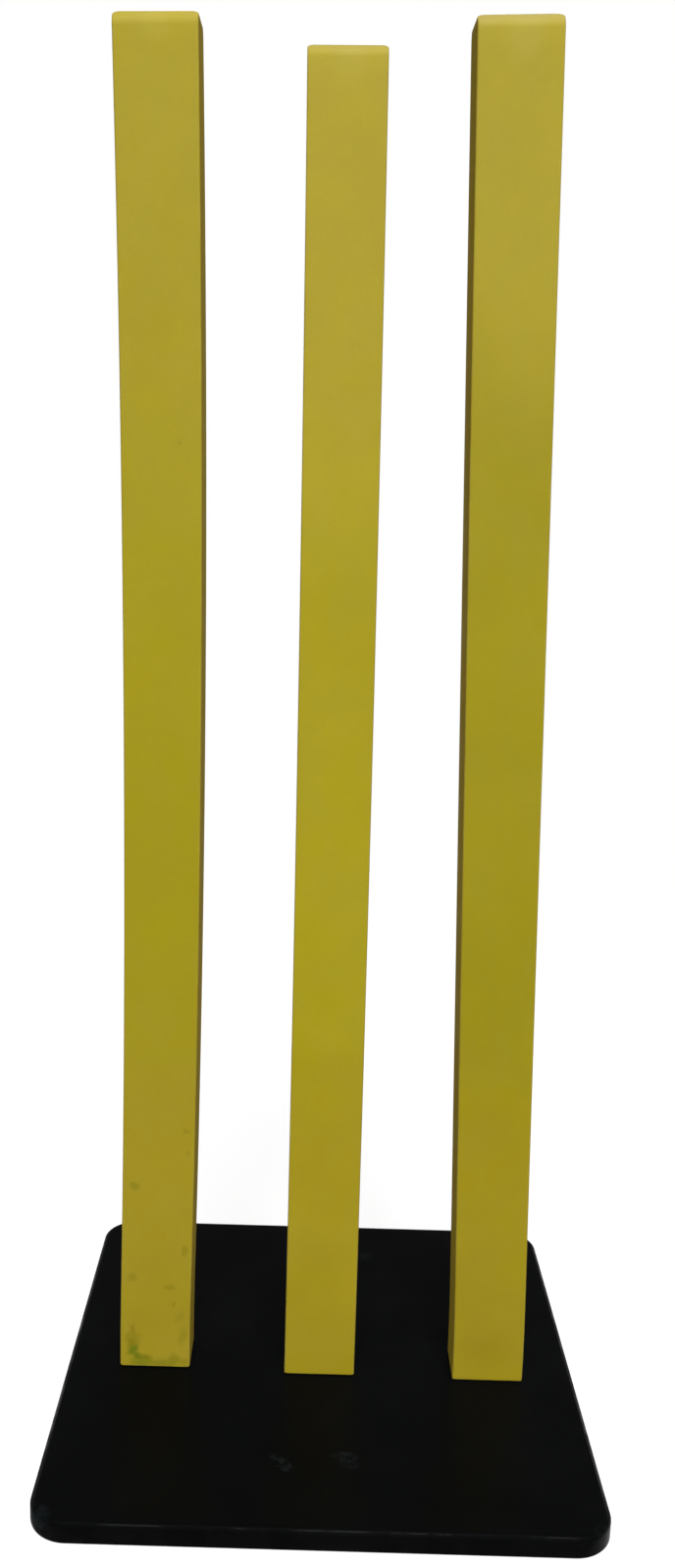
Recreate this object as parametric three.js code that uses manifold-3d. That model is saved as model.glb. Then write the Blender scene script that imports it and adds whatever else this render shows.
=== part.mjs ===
// Cricket stumps on a base: three flexible square stumps moulded in yellow polyurethane, stood in a
// row on one black rubber slab. A steel anchor is moulded into the foot of each stump, and two bolts
// with penny washers come up through the slab from a recess beneath it and draw the foot down.
// Sizes are in millimetres and +Z is up. The origin is the middle of the slab's underside, +X runs
// along the row, and the ball comes from the -Y side.
import * as THREE from 'three';
import { mergeVertices } from 'three/addons/utils/BufferGeometryUtils.js';
import Module from 'manifold-3d';

const wasm = await Module();
wasm.setup();

// The wicket as the Laws of Cricket size it: 28 inches high and 9 inches wide.
const OVERALL_HEIGHT = 711;
const WICKET_WIDTH = 228.5;

// Rubber slab
const BASE_WIDTH = 286;
const BASE_DEPTH = 286;
const BASE_THICKNESS = 11.5;
const BASE_CORNER_RADIUS = 20;
const BASE_TOP_ROUND = 2.8;
const BASE_BOTTOM_ROUND = 1;

// Stump moulding
const STUMP_WIDTH = 39.3;
const STUMP_DEPTH = 28;
const STUMP_EDGE_RADIUS = 1.1;
const STUMP_TOP_ROUND = 7;
const STUMP_TOP_SIDE_ROUND = 2.5;
const STUMP_CROWN = 0.5;
const CROWN_SHARES = [0.75, 0.45, 0.15];
const FOOT_ROUND = 0.9;
const FOOT_HEIGHT = 50;

// How each stump stands. It is clamped square to the slab, takes its lean within the foot and runs
// on straight. A lean along the row is positive to the right and a lean in depth is positive away
// from the ball. The shares are of the stump's width, depth and length.
const STUMPS = [
  {
    name: 'left',
    place: -1,
    footSideShare: 0.026,
    footDepthShare: -0.185,
    sideLeanDegrees: 0.05,
    depthLeanDegrees: -1.94,
    bowShare: 0.0054,
  },
  {
    name: 'middle',
    place: 0,
    footSideShare: -0.017,
    footDepthShare: -0.292,
    sideLeanDegrees: -0.38,
    depthLeanDegrees: 2.1,
    bowShare: 0.0016,
  },
  {
    name: 'right',
    place: 1,
    footSideShare: -0.019,
    footDepthShare: -0.332,
    sideLeanDegrees: -1.95,
    depthLeanDegrees: -2.16,
    bowShare: 0,
  },
];

// Anchor moulded into the foot: a plate with two tapped bosses
const ANCHOR_WIDTH = 32;
const ANCHOR_DEPTH = 20;
const ANCHOR_THICKNESS = 2.5;
const ANCHOR_CORNER_RADIUS = 3;
const BOSS_PITCH = 19;
const BOSS_RADIUS = 5;
const BOSS_CAP = 3;
const BOSS_GROOVE_DEPTH = 1;
const BOSS_GROOVE_FROM_SHARE = 0.5;
const BOSS_GROOVE_TO_SHARE = 0.68;
const KEY_HOLE_RADIUS = 2.6;

// Bolt with a button head and a hexagon socket, and its penny washer
const BOLT_RADIUS = 3;
const BOLT_REACH = 18;
const BOLT_TIP_CHAMFER = 0.8;
const BOLT_HEAD_RADIUS = 5.25;
const BOLT_HEAD_HEIGHT = 3.3;
const BOLT_HEAD_FLAT_SHARE = 0.55;
const SOCKET_ACROSS_FLATS = 4;
const SOCKET_DEPTH = 2;
const WASHER_RADIUS = 9;
const WASHER_THICKNESS = 1.6;
const WASHER_CHAMFER = 0.3;

// Clearances
const SEAT_GAP = 0.3;
const HOLE_GAP = 0.4;
const BORE_SPARE = 1;
const HEAD_SINK = 0.8;
const OVERRUN = 1;

// Counts
const STUMP_CORNER_STEPS = 4;
const BASE_CORNER_STEPS = 9;
const ROUND_STEPS = 4;
const STUMP_STEPS = 12;
const FOOT_STEPS = 4;
const HARDWARE_SIDES = 20;
const HOLE_SIDES = 20;
const HEXAGON_SIDES = 6;

const STUMP_LENGTH = OVERALL_HEIGHT - BASE_THICKNESS;
const STUMP_PITCH = (WICKET_WIDTH - STUMP_WIDTH) / 2;
const BORE_DEPTH = BOLT_REACH + BORE_SPARE;
const BOSS_HEIGHT = BORE_DEPTH + BOSS_CAP;
const BOLT_LENGTH = BASE_THICKNESS - HEAD_SINK + SEAT_GAP + BOLT_REACH;
const RECESS_DEPTH = HEAD_SINK + BOLT_HEAD_HEIGHT + WASHER_THICKNESS + 2 * SEAT_GAP;
const HALF_TURN = Math.PI;
const QUARTER_TURN = HALF_TURN / 2;

const yellowMoulding = new THREE.MeshStandardMaterial({ color: 0xa8971c, roughness: 0.75, metalness: 0 });
const blackRubber = new THREE.MeshStandardMaterial({ color: 0x0f0f10, roughness: 0.5, metalness: 0 });
const zincSteel = new THREE.MeshStandardMaterial({ color: 0xa9adb0, roughness: 0.35, metalness: 1 });

// Joins and cuts

function solidOf(geometry) {
  const bare = geometry.clone();
  bare.deleteAttribute('normal');
  bare.deleteAttribute('uv');
  const merged = mergeVertices(bare);
  return new wasm.Manifold(
    new wasm.Mesh({
      numProp: 3,
      vertProperties: merged.attributes.position.array,
      triVerts: new Uint32Array(merged.index.array),
    }),
  );
}

function geometryOf(solid) {
  const mesh = solid.getMesh();
  const geometry = new THREE.BufferGeometry();
  geometry.setAttribute('position', new THREE.BufferAttribute(mesh.vertProperties, 3));
  geometry.setIndex(new THREE.BufferAttribute(mesh.triVerts, 1));
  geometry.computeVertexNormals();
  return geometry;
}

function meshOf(name, geometry, material) {
  const mesh = new THREE.Mesh(geometry, material);
  mesh.name = name;
  return mesh;
}

// Outlines and lofts

// A rectangle with round corners, anticlockwise from above.
function roundedRectangle(width, depth, radius, steps) {
  const points = [];
  const corners = [[1, 1], [-1, 1], [-1, -1], [1, -1]];
  corners.forEach(([right, back], quarter) => {
    for (let k = 0; k <= steps; k++) {
      const angle = (quarter + k / steps) * QUARTER_TURN;
      const x = right * (width / 2 - radius) + radius * Math.cos(angle);
      const y = back * (depth / 2 - radius) + radius * Math.sin(angle);
      points.push(new THREE.Vector2(x, y));
    }
  });
  return points;
}

// The inset and the height of a quarter round, from the upright wall inwards.
function quarterRound(radius, steps) {
  return Array.from({ length: steps + 1 }, (_, k) => {
    const angle = (k / steps) * QUARTER_TURN;
    return { inset: radius * (1 - Math.cos(angle)), rise: radius * Math.sin(angle) };
  });
}

// A closed skin over rings of points that all run anticlockwise from above, lowest ring first.
function loft(rings) {
  const count = rings[0].length;
  const middle = (ring) => ring.reduce((sum, p) => sum.add(p), new THREE.Vector3()).divideScalar(count);
  const points = [...rings.flat(), middle(rings[0]), middle(rings.at(-1))];
  const bottomMiddle = rings.length * count;
  const topMiddle = bottomMiddle + 1;
  const topStart = (rings.length - 1) * count;
  const index = [];
  for (let j = 0; j < count; j++) {
    const next = (j + 1) % count;
    for (let i = 0; i < rings.length - 1; i++) {
      const low = i * count;
      const high = low + count;
      index.push(low + j, low + next, high + next);
      index.push(low + j, high + next, high + j);
    }
    index.push(bottomMiddle, next, j);
    index.push(topMiddle, topStart + j, topStart + next);
  }
  const geometry = new THREE.BufferGeometry().setFromPoints(points);
  geometry.setIndex(index);
  geometry.computeVertexNormals();
  return geometry;
}

// An outline of [radius, height] pairs turned round the Z axis.
function revolve(outline, sides) {
  const points = outline.map(([radius, height]) => new THREE.Vector2(radius, height));
  return new THREE.LatheGeometry(points, sides).rotateX(QUARTER_TURN);
}

function rod(radius, low, high, sides) {
  return revolve([[0, low], [radius, low], [radius, high], [0, high]], sides);
}

function boltPlaces() {
  return [-BOSS_PITCH / 2, BOSS_PITCH / 2];
}

// Rubber slab

// The slab rises from a slightly rounded lower edge to a fuller round along its top edge.
function slabRings() {
  const lower = quarterRound(BASE_BOTTOM_ROUND, ROUND_STEPS)
    .reverse()
    .map(({ inset, rise }) => ({ inset, height: BASE_BOTTOM_ROUND - rise }));
  const upper = quarterRound(BASE_TOP_ROUND, ROUND_STEPS)
    .map(({ inset, rise }) => ({ inset, height: BASE_THICKNESS - BASE_TOP_ROUND + rise }));
  return [...lower, ...upper].map(({ inset, height }) => {
    const width = BASE_WIDTH - 2 * inset;
    const depth = BASE_DEPTH - 2 * inset;
    return roundedRectangle(width, depth, BASE_CORNER_RADIUS - inset, BASE_CORNER_STEPS)
      .map((p) => new THREE.Vector3(p.x, p.y, height));
  });
}

// One round-ended recess takes both heads and washers of a stump, with a hole above each bolt.
function slabCutter() {
  const recessRadius = WASHER_RADIUS + HOLE_GAP;
  const outline = new THREE.Shape();
  outline.absarc(BOSS_PITCH / 2, 0, recessRadius, -QUARTER_TURN, QUARTER_TURN);
  outline.absarc(-BOSS_PITCH / 2, 0, recessRadius, QUARTER_TURN, 3 * QUARTER_TURN);
  const recess = new THREE.ExtrudeGeometry(outline, {
    depth: OVERRUN + RECESS_DEPTH,
    bevelEnabled: false,
    curveSegments: HOLE_SIDES / 2,
  });
  recess.translate(0, 0, -OVERRUN);
  const holes = boltPlaces().map((x) =>
    solidOf(rod(BOLT_RADIUS + HOLE_GAP, 0, BASE_THICKNESS + OVERRUN, HOLE_SIDES).translate(x, 0, 0)),
  );
  return holes.reduce((cutter, hole) => cutter.add(hole), solidOf(recess));
}

function rubberSlab() {
  const cutter = slabCutter();
  const slab = STUMPS.reduce((left, stump) => {
    const foot = footPlace(stump);
    return left.subtract(cutter.translate([foot.x, foot.y, 0]));
  }, solidOf(loft(slabRings())));
  return meshOf('rubber_base', geometryOf(slab), blackRubber);
}

// Stump moulding

function footPlace(stump) {
  const x = stump.place * STUMP_PITCH + stump.footSideShare * STUMP_WIDTH;
  return new THREE.Vector2(x, stump.footDepthShare * STUMP_DEPTH);
}

// Where the stump's centre line is at a height above the slab, and which way it points there.
// Over the foot the lean grows with the square of the height, so the line leaves the slab upright.
function centreLine(stump, height) {
  const run = height < FOOT_HEIGHT ? height ** 2 / (2 * FOOT_HEIGHT) : height - FOOT_HEIGHT / 2;
  const slope = Math.min(height / FOOT_HEIGHT, 1);
  const fullRun = STUMP_LENGTH - FOOT_HEIGHT / 2;
  const along = run / fullRun;
  const sideTan = Math.tan(THREE.MathUtils.degToRad(stump.sideLeanDegrees));
  const depthTan = Math.tan(THREE.MathUtils.degToRad(stump.depthLeanDegrees));
  const bow = stump.bowShare * STUMP_LENGTH;
  const side = sideTan * run + 4 * bow * along * (1 - along);
  const sideSlope = slope * (sideTan + (4 * bow * (1 - 2 * along)) / fullRun);
  return {
    point: new THREE.Vector3(side, depthTan * run, height),
    tangent: new THREE.Vector3(sideSlope, slope * depthTan, 1).normalize(),
  };
}

// The stump's section at a height, drawn in at the sides and at front and back, and square to the
// centre line. A share under 1 shrinks it towards the centre line.
function stumpRing(stump, height, sideInset, depthInset, share = 1) {
  const { point, tangent } = centreLine(stump, height);
  const across = new THREE.Vector3(1, 0, 0).projectOnPlane(tangent).normalize();
  const back = new THREE.Vector3().crossVectors(tangent, across);
  const width = STUMP_WIDTH - 2 * sideInset;
  const depth = STUMP_DEPTH - 2 * depthInset;
  return roundedRectangle(width, depth, STUMP_EDGE_RADIUS + sideInset, STUMP_CORNER_STEPS)
    .map((p) => point.clone().addScaledVector(across, share * p.x).addScaledVector(back, share * p.y));
}

function evenHeights(from, to, steps) {
  return Array.from({ length: steps + 1 }, (_, k) => from + ((to - from) * k) / steps);
}

// How far a round has drawn in at a drop below the rim in which it ends.
function insetAt(radius, drop) {
  const rise = Math.max(radius - drop, 0);
  return radius - Math.sqrt(radius ** 2 - rise ** 2);
}

function topRing(stump, height, drop, share) {
  const sideInset = insetAt(STUMP_TOP_SIDE_ROUND, drop);
  return stumpRing(stump, height, sideInset, insetAt(STUMP_TOP_ROUND, drop), share);
}

// The top edge is rounder at front and back than at the sides, and both rounds end in one rim.
function topEdge(stump) {
  const drops = [STUMP_TOP_ROUND, STUMP_TOP_SIDE_ROUND]
    .flatMap((radius) => quarterRound(radius, ROUND_STEPS).map(({ rise }) => radius - rise));
  return [...new Set(drops)]
    .sort((a, b) => b - a)
    .map((drop) => topRing(stump, STUMP_LENGTH - STUMP_CROWN - drop, drop));
}

// Above the foot the section runs up to a rounded edge and a top that is crowned a little.
function stumpBody(stump) {
  const shoulder = STUMP_LENGTH - STUMP_TOP_ROUND - STUMP_CROWN;
  const straight = evenHeights(FOOT_HEIGHT + SEAT_GAP, shoulder, STUMP_STEPS)
    .slice(0, -1)
    .map((height) => stumpRing(stump, height, 0, 0));
  const crown = CROWN_SHARES
    .map((share) => topRing(stump, STUMP_LENGTH - STUMP_CROWN * share ** 2, 0, share));
  return meshOf(stump.name + '_stump', loft([...straight, ...topEdge(stump), ...crown]), yellowMoulding);
}

// The foot is the stretch that flexes. It is moulded round the anchor, which it holds from beneath.
function stumpFoot(stump) {
  const lowEdge = quarterRound(FOOT_ROUND, ROUND_STEPS)
    .reverse()
    .map(({ inset, rise }) => stumpRing(stump, SEAT_GAP + FOOT_ROUND - rise, inset, inset));
  const upper = evenHeights(SEAT_GAP + FOOT_ROUND, FOOT_HEIGHT, FOOT_STEPS)
    .slice(1)
    .map((height) => stumpRing(stump, height, 0, 0));
  const foot = solidOf(loft([...lowEdge, ...upper])).subtract(anchorPocket());
  return meshOf(stump.name + '_stump_foot', geometryOf(foot), yellowMoulding);
}

// Anchor in the foot

function keyHolePlaces() {
  const reach = (ANCHOR_DEPTH / 2 - KEY_HOLE_RADIUS) / 2 + KEY_HOLE_RADIUS / 2;
  return [-reach, reach];
}

function platePrism(grow, low, high) {
  const width = ANCHOR_WIDTH + 2 * grow;
  const depth = ANCHOR_DEPTH + 2 * grow;
  const outline = roundedRectangle(width, depth, ANCHOR_CORNER_RADIUS + grow, STUMP_CORNER_STEPS);
  const prism = new THREE.ExtrudeGeometry(new THREE.Shape(outline), {
    depth: high - low,
    bevelEnabled: false,
  });
  return solidOf(prism.translate(0, 0, low));
}

// The space in the foot for the anchor. The moulding reaches down through the two key holes.
function anchorPocket() {
  const top = SEAT_GAP + ANCHOR_THICKNESS + SEAT_GAP;
  const keys = keyHolePlaces().map((y) =>
    solidOf(rod(KEY_HOLE_RADIUS - SEAT_GAP, SEAT_GAP, top + OVERRUN, HARDWARE_SIDES).translate(0, y, 0)),
  );
  const plate = keys.reduce((left, key) => left.subtract(key), platePrism(SEAT_GAP, 0, top));
  return boltPlaces().reduce((pocket, x) => {
    const boss = rod(BOSS_RADIUS + SEAT_GAP, 0, SEAT_GAP + BOSS_HEIGHT + SEAT_GAP, HARDWARE_SIDES);
    return pocket.add(solidOf(boss.translate(x, 0, 0)));
  }, plate);
}

// A blind tapped boss with a groove round it that the moulding grips.
function anchorBoss() {
  const grooveRadius = BOSS_RADIUS - BOSS_GROOVE_DEPTH;
  const grooveLow = BOSS_HEIGHT * BOSS_GROOVE_FROM_SHARE;
  const grooveHigh = BOSS_HEIGHT * BOSS_GROOVE_TO_SHARE;
  return revolve(
    [
      [0, 0],
      [BOSS_RADIUS, 0],
      [BOSS_RADIUS, grooveLow],
      [grooveRadius, grooveLow],
      [grooveRadius, grooveHigh],
      [BOSS_RADIUS, grooveHigh],
      [BOSS_RADIUS, BOSS_HEIGHT],
      [0, BOSS_HEIGHT],
    ],
    HARDWARE_SIDES,
  );
}

function stumpAnchor(stump) {
  const bosses = boltPlaces().map((x) => solidOf(anchorBoss().translate(x, 0, 0)));
  const bores = boltPlaces().map((x) =>
    solidOf(rod(BOLT_RADIUS + SEAT_GAP, -OVERRUN, BORE_DEPTH, HARDWARE_SIDES).translate(x, 0, 0)),
  );
  const keyHoles = keyHolePlaces().map((y) =>
    solidOf(rod(KEY_HOLE_RADIUS, -OVERRUN, ANCHOR_THICKNESS + OVERRUN, HARDWARE_SIDES).translate(0, y, 0)),
  );
  const whole = bosses.reduce((left, boss) => left.add(boss), platePrism(0, 0, ANCHOR_THICKNESS));
  const anchor = [...bores, ...keyHoles].reduce((left, cut) => left.subtract(cut), whole);
  const mesh = meshOf(stump.name + '_anchor', geometryOf(anchor), zincSteel);
  mesh.position.z = SEAT_GAP;
  return mesh;
}

// Bolts and washers, each drawn from its lower face at height zero

function buttonHeadBolt() {
  const flat = BOLT_HEAD_RADIUS * BOLT_HEAD_FLAT_SHARE;
  const dome = Array.from({ length: ROUND_STEPS + 1 }, (_, k) => {
    const angle = (k / ROUND_STEPS) * QUARTER_TURN;
    const radius = flat + (BOLT_HEAD_RADIUS - flat) * Math.sin(angle);
    return [radius, BOLT_HEAD_HEIGHT * (1 - Math.cos(angle))];
  });
  const turned = revolve(
    [
      [0, 0],
      ...dome,
      [BOLT_RADIUS, BOLT_HEAD_HEIGHT],
      [BOLT_RADIUS, BOLT_LENGTH - BOLT_TIP_CHAMFER],
      [BOLT_RADIUS - BOLT_TIP_CHAMFER, BOLT_LENGTH],
      [0, BOLT_LENGTH],
    ],
    HARDWARE_SIDES,
  );
  const socketRadius = SOCKET_ACROSS_FLATS / 2 / Math.cos(HALF_TURN / HEXAGON_SIDES);
  const socket = rod(socketRadius, -OVERRUN, SOCKET_DEPTH, HEXAGON_SIDES);
  return geometryOf(solidOf(turned).subtract(solidOf(socket)));
}

function pennyWasher() {
  const bore = BOLT_RADIUS + SEAT_GAP;
  const inner = bore + WASHER_CHAMFER;
  const outer = WASHER_RADIUS - WASHER_CHAMFER;
  const upper = WASHER_THICKNESS - WASHER_CHAMFER;
  return revolve(
    [
      [inner, 0],
      [outer, 0],
      [WASHER_RADIUS, WASHER_CHAMFER],
      [WASHER_RADIUS, upper],
      [outer, WASHER_THICKNESS],
      [inner, WASHER_THICKNESS],
      [bore, upper],
      [bore, WASHER_CHAMFER],
      [inner, 0],
    ],
    HARDWARE_SIDES,
  );
}

function fasteners(stump) {
  return boltPlaces().flatMap((x, i) => {
    const bolt = meshOf(`${stump.name}_bolt_${i + 1}`, buttonHeadBolt(), zincSteel);
    bolt.position.set(x, 0, HEAD_SINK - BASE_THICKNESS);
    const washer = meshOf(`${stump.name}_washer_${i + 1}`, pennyWasher(), zincSteel);
    washer.position.set(x, 0, HEAD_SINK + BOLT_HEAD_HEIGHT + SEAT_GAP - BASE_THICKNESS);
    return [bolt, washer];
  });
}

// Whole wicket

function stumpGroup(stump) {
  const group = new THREE.Group();
  const foot = footPlace(stump);
  group.position.set(foot.x, foot.y, BASE_THICKNESS);
  group.add(stumpBody(stump), stumpFoot(stump), stumpAnchor(stump), ...fasteners(stump));
  return group;
}

const group = new THREE.Group();
group.add(rubberSlab(), ...STUMPS.map(stumpGroup));

export default group;
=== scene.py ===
import math

import bpy
import numpy as np
from mathutils import Matrix, Vector
from mathutils.geometry import delaunay_2d_cdt


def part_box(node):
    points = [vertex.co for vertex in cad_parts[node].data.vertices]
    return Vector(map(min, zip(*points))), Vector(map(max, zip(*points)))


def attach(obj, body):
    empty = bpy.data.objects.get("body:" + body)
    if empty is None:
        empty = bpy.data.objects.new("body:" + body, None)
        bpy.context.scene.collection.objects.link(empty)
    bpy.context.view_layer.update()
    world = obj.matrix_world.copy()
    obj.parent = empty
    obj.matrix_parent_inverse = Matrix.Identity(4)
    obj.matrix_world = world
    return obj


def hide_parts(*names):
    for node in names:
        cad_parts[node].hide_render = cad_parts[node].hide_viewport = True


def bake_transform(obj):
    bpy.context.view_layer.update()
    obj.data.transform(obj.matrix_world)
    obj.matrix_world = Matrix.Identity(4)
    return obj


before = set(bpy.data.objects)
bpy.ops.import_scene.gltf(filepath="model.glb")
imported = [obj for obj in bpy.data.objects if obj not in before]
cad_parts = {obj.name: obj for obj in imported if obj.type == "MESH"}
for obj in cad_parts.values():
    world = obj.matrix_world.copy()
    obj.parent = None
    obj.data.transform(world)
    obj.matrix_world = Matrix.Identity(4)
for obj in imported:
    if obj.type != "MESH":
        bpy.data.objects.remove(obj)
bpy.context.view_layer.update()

MM = 0.001
QUARTER_TURN = math.pi / 2

# Photograph: its size, and the camera that took it, fitted to the edges of the slab and the stumps
PHOTO_WIDTH_PX = 688
PHOTO_HEIGHT_PX = 1599
FOCAL_LENGTH_PX = 1422.7
OPTICAL_AXIS_X_PX = 307.5
SENSOR_LENGTH_MM = 36
CAMERA_PLACE = Vector((-13.8, -724.9, 497.6)) * MM
CAMERA_DOWN = math.radians(11.73)
CAMERA_LEFT = math.radians(0.39)
CAMERA_ROLL = math.radians(1.41)

# Stump moulding. The height, the lean, the bow and the rounds repeat those of the solid model.
OVERALL_HEIGHT = 711 * MM
STUMP_EDGE_RADIUS = 1.1 * MM
STUMP_TOP_ROUND = 7 * MM
STUMP_TOP_SIDE_ROUND = 2.5 * MM
STUMP_CROWN = 0.5 * MM
FOOT_ROUND = 0.9 * MM
FOOT_HEIGHT = 50 * MM
SEAT_GAP = 0.3 * MM
STUMP_WIDTH = 39.3 * MM
STUMP_DEPTH = 28 * MM
STUMPS = {
    "left": {"side_lean": 0.05, "depth_lean": -1.94, "bow": 3.78 * MM},
    "middle": {"side_lean": -0.38, "depth_lean": 2.1, "bow": 1.12 * MM},
    "right": {"side_lean": -1.95, "depth_lean": -2.16, "bow": 0},
}

# Anchor, bolts and washers
ANCHOR_THICKNESS = 2.5 * MM
ANCHOR_CORNER_RADIUS = 3 * MM
BOSS_RADIUS = 5 * MM
BOSS_CAP = 3 * MM
BOSS_GROOVE_DEPTH = 1 * MM
BOSS_GROOVE_SHARES = (0.5, 0.68)
KEY_HOLE_RADIUS = 2.6 * MM
KEY_HOLE_REACH = 5 * MM
HOLE_GAP = 0.4 * MM
BOLT_RADIUS = 3 * MM
BOLT_TIP_CHAMFER = 0.8 * MM
BOLT_HEAD_RADIUS = 5.25 * MM
BOLT_HEAD_HEIGHT = 3.3 * MM
BOLT_HEAD_FLAT_SHARE = 0.55
SOCKET_ACROSS_FLATS = 4 * MM
SOCKET_DEPTH = 2 * MM
THREAD_PITCH = 1 * MM
THREAD_DEPTH = 0.6 * MM
THREAD_FLANK_GAIN = 1.3
THREAD_CREST_SHARE = 0.15
WASHER_CHAMFER = 0.3 * MM

# Slab
SLAB_CORNER_RADIUS = 20 * MM
SLAB_TOP_ROUND = 2.8 * MM
SLAB_BOTTOM_ROUND = 1 * MM
SLAB_LEVEL_RING = 2 * MM

# How finely the pieces are cut up
CORNER_STEPS = 10
SLAB_CORNER_STEPS = 28
ROUND_STEPS = 8
CIRCLE_STEPS = 48
HEXAGON_SIDES = 6
ROWS_TO_A_PITCH = 8
FOOT_ROW = 2 * MM
BODY_ROW = 8 * MM
SIDE_SHARES = np.array([0.015, 0.05, 0.15, 0.3, 0.5, 0.7, 0.85, 0.95, 0.985])
CROWN_SHARES = np.array([0.9, 0.75, 0.55, 0.35, 0.15])
SHARP_ANGLE = math.radians(40)

# For the level faces: how near two points count as one, and the kind of result that is asked for
WELD = 0.001 * MM
TRIANGLES_INSIDE = 1

# Studio. Places and sizes are in metres. Of the room, glossy surfaces see white walls up to one slope
# and a dim ceiling from a steeper one on. The floor keeps its shade out to the near distance and is
# pure white from the far one on.
LAMP_AIM = Vector((0, 0, 0.4))
KEY_PLACE = Vector((0.35, -2.2, 0.25))
KEY_SIZE = 1.2
KEY_WATTS = 11
TOP_PLACE = Vector((0.2, -2.6, 4.0))
TOP_SIZE = 2
TOP_WATTS = 204
BACK_PLACES = (Vector((-1.7, 2.2, 0.6)), Vector((1.7, 2.2, 0.6)))
BACK_SIZE = 0.8
BACK_WATTS = 8
ROOM_LIGHT = 0.32
CEILING_GLOSS = 0.2
WALL_TOP = 0.05
CEILING_START = 0.22
FLOOR_SIZE = 12
FLOOR_COLOUR = 0.35
FLOOR_BOUNCE = 0.12
FLOOR_LIFT = 0.75
FLOOR_NEAR = 0.35
FLOOR_FAR = 1.3


# Points and faces

class Skin:
    """Points and faces of one closed piece, collected wall by wall."""

    def __init__(self):
        self.points = []
        self.faces = []
        self.count = 0

    def add(self, points):
        """Adds an array of points of any shape (..., 3) and returns their numbers in that shape."""
        flat = points.reshape(-1, 3)
        self.points.append(flat)
        numbers = np.arange(self.count, self.count + len(flat)).reshape(points.shape[:-1])
        self.count += len(flat)
        return numbers

    def wall(self, rings, inward=False):
        """Quads between rings that run anticlockwise from above, lowest first. Inward is for a hole."""
        beside = np.roll(rings, -1, axis=1)
        quads = np.stack([rings[:-1], beside[:-1], beside[1:], rings[1:]], axis=-1).reshape(-1, 4)
        self.faces += (quads[:, ::-1] if inward else quads).tolist()

    def pole(self, ring, point):
        """A fan from a ring, anticlockwise from above, up to one point."""
        centre = int(self.add(np.asarray(point, float)[None])[0])
        fan = np.stack([ring, np.roll(ring, -1), np.full_like(ring, centre)], axis=-1)
        self.faces += fan.tolist()

    def flat(self, outer, holes=(), up=True):
        """A level face inside one ring and outside the others, in Delaunay triangles between their points."""
        loops = [outer, *holes]
        numbers = np.concatenate(loops)
        places = np.concatenate(self.points)[numbers, :2].tolist()
        ends = np.cumsum([len(loop) for loop in loops])
        rings = [list(range(end - len(loop), end)) for loop, end in zip(loops, ends)]
        sides = [pair for ring in rings for pair in zip(ring, ring[1:] + ring[:1])]
        result = delaunay_2d_cdt(places, sides, rings, TRIANGLES_INSIDE, WELD)
        _, _, triangles, places_from, _, rings_round = result
        clear = np.array([found == [0] for found in rings_round])
        source = np.array([found[0] for found in places_from])
        corners = numbers[source[np.array(triangles)[clear]]]
        self.faces += (corners if up else corners[:, ::-1]).tolist()

    def piece(self, name, material):
        """The finished object, smooth but for its sharp edges."""
        mesh = bpy.data.meshes.new(name)
        mesh.from_pydata(np.concatenate(self.points), [], self.faces)
        mesh.polygons.foreach_set("use_smooth", np.ones(len(mesh.polygons), bool))
        mesh.set_sharp_from_angle(angle=SHARP_ANGLE)
        mesh.materials.append(material)
        made = bpy.data.objects.new(name, mesh)
        bpy.context.scene.collection.objects.link(made)
        return made


def rounded_rings(width, depth, radius, corner_steps=CORNER_STEPS):
    """Rectangles with round corners, anticlockwise from above, as an array (rings, points, 2).

    Each corner is an arc of the radius round a point that lies the radius inside both sides, and
    the points between two arcs lie at SIDE_SHARES of the straight side.
    """
    width, depth, radius = (np.atleast_1d(v).astype(float)[:, None, None] for v in (width, depth, radius))
    corner = np.array([[1, 1], [-1, 1], [-1, -1], [1, -1]], float)[:, None]
    angle = (np.arange(4)[:, None] + np.linspace(0, 1, corner_steps + 1)) * QUARTER_TURN
    outward = np.stack([np.cos(angle), np.sin(angle)], axis=-1)
    centres = corner * np.stack([width / 2 - radius, depth / 2 - radius], axis=-1)
    arcs = centres + radius[..., None] * outward
    start = arcs[:, :, -1][:, :, None]
    end = np.roll(arcs[:, :, 0], -1, axis=1)[:, :, None]
    sides = start + SIDE_SHARES[:, None] * (end - start)
    return np.concatenate([arcs, sides], axis=2).reshape(len(width), -1, 2)


def at_height(ring, height):
    """A flat ring (points, 2) as points (points, 3) at one height."""
    return np.column_stack([ring, np.full(len(ring), height)])


def circle(centre, radius, steps=CIRCLE_STEPS):
    """A circle, anticlockwise from above: the centre plus the radius times cosine and sine."""
    angle = np.arange(steps) * 2 * math.pi / steps
    return np.asarray(centre) + radius * np.column_stack([np.cos(angle), np.sin(angle)])


def quarter_round(radius):
    """Inset r(1 - cos a) and rise r sin a for a from nothing to a quarter turn."""
    angle = np.linspace(0, QUARTER_TURN, ROUND_STEPS + 1)
    return radius * (1 - np.cos(angle)), radius * np.sin(angle)


def turned(skin, centre, radius, height, closed=False):
    """A turned wall: at each height a ring, the centre plus its radius times cosine and sine.

    A ring has one radius, or one for each step round. The rings run outwards along the underside, up
    the side and inwards along the top, and a closed wall goes on to its first ring again.
    """
    angle = np.arange(CIRCLE_STEPS) * 2 * math.pi / CIRCLE_STEPS
    radius = np.broadcast_to(radius.reshape(len(height), -1), (len(height), CIRCLE_STEPS))
    up = np.broadcast_to(height[:, None], radius.shape)
    points = np.stack([centre[0] + radius * np.cos(angle), centre[1] + radius * np.sin(angle), up], axis=-1)
    rings = skin.add(points)
    skin.wall(np.concatenate([rings, rings[:1]]) if closed else rings)
    return rings


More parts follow.
